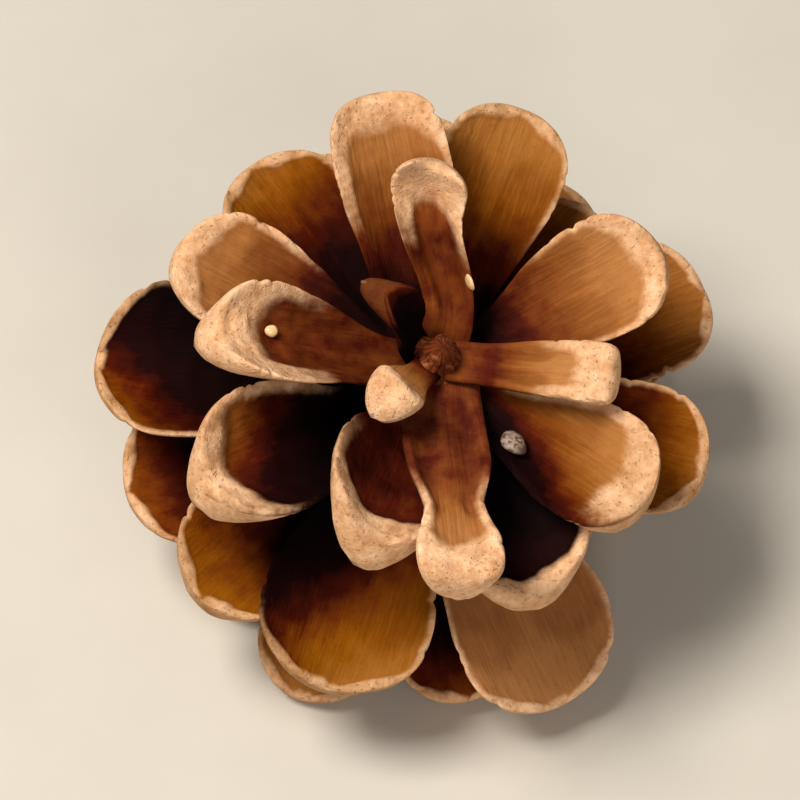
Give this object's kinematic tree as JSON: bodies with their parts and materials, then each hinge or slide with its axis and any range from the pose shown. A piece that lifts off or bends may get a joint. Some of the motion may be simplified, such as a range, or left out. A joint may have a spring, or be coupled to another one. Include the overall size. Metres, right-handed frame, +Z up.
{
  "type": "pine cone",
  "caption": "Open, dry pine cone resting on the tips of its lowest scales, its woody scales spread in a spiral around a leaning axis.",
  "frame": {"origin": "on the surface the cone rests on, under the middle of its outline seen from above", "axes": "+Z up from the resting surface; the cone's axis leans 16.5 degrees towards -Y and 8.6 degrees towards +X"},
  "size_m": [0.0632, 0.0615, 0.0476],
  "materials": {
    "scale_wood": "dry woody scale, golden brown with a paler rim and tip, matt",
    "axis_wood": "dark red-brown wood, rough",
    "seed_coat": "smooth grey-brown seed coat",
    "resin": "dried resin, pale amber, glossy"
  },
  "bodies": {
    "root": {"cone_axis": "axis_wood", "resin_bead_1": "resin", "resin_bead_2": "resin", "scale_01": "scale_wood", "scale_02": "scale_wood", "scale_03": "scale_wood", "scale_04": "scale_wood", "scale_05": "scale_wood", "scale_06": "scale_wood", "scale_07": "scale_wood", "scale_08": "scale_wood", "scale_09": "scale_wood", "scale_10": "scale_wood", "scale_11": "scale_wood", "scale_12": "scale_wood", "scale_13": "scale_wood", "scale_14": "scale_wood", "scale_15": "scale_wood", "scale_16": "scale_wood", "scale_17": "scale_wood", "scale_18": "scale_wood", "scale_19": "scale_wood", "scale_20": "scale_wood", "scale_21": "scale_wood", "scale_22": "scale_wood", "scale_23": "scale_wood", "scale_24": "scale_wood", "scale_25": "scale_wood", "scale_26": "scale_wood", "scale_27": "scale_wood", "scale_28": "scale_wood", "scale_29": "scale_wood", "scale_30": "scale_wood", "scale_31": "scale_wood", "scale_32": "scale_wood", "scale_33": "scale_wood", "scale_34": "scale_wood", "scale_35": "scale_wood", "scale_36": "scale_wood", "scale_37": "scale_wood", "scale_38": "scale_wood", "scale_39": "scale_wood", "scale_40": "scale_wood", "scale_41": "scale_wood", "scale_42": "scale_wood", "scale_43": "scale_wood", "scale_44": "scale_wood", "seed": "seed_coat"}
  },
  "joints": []
}
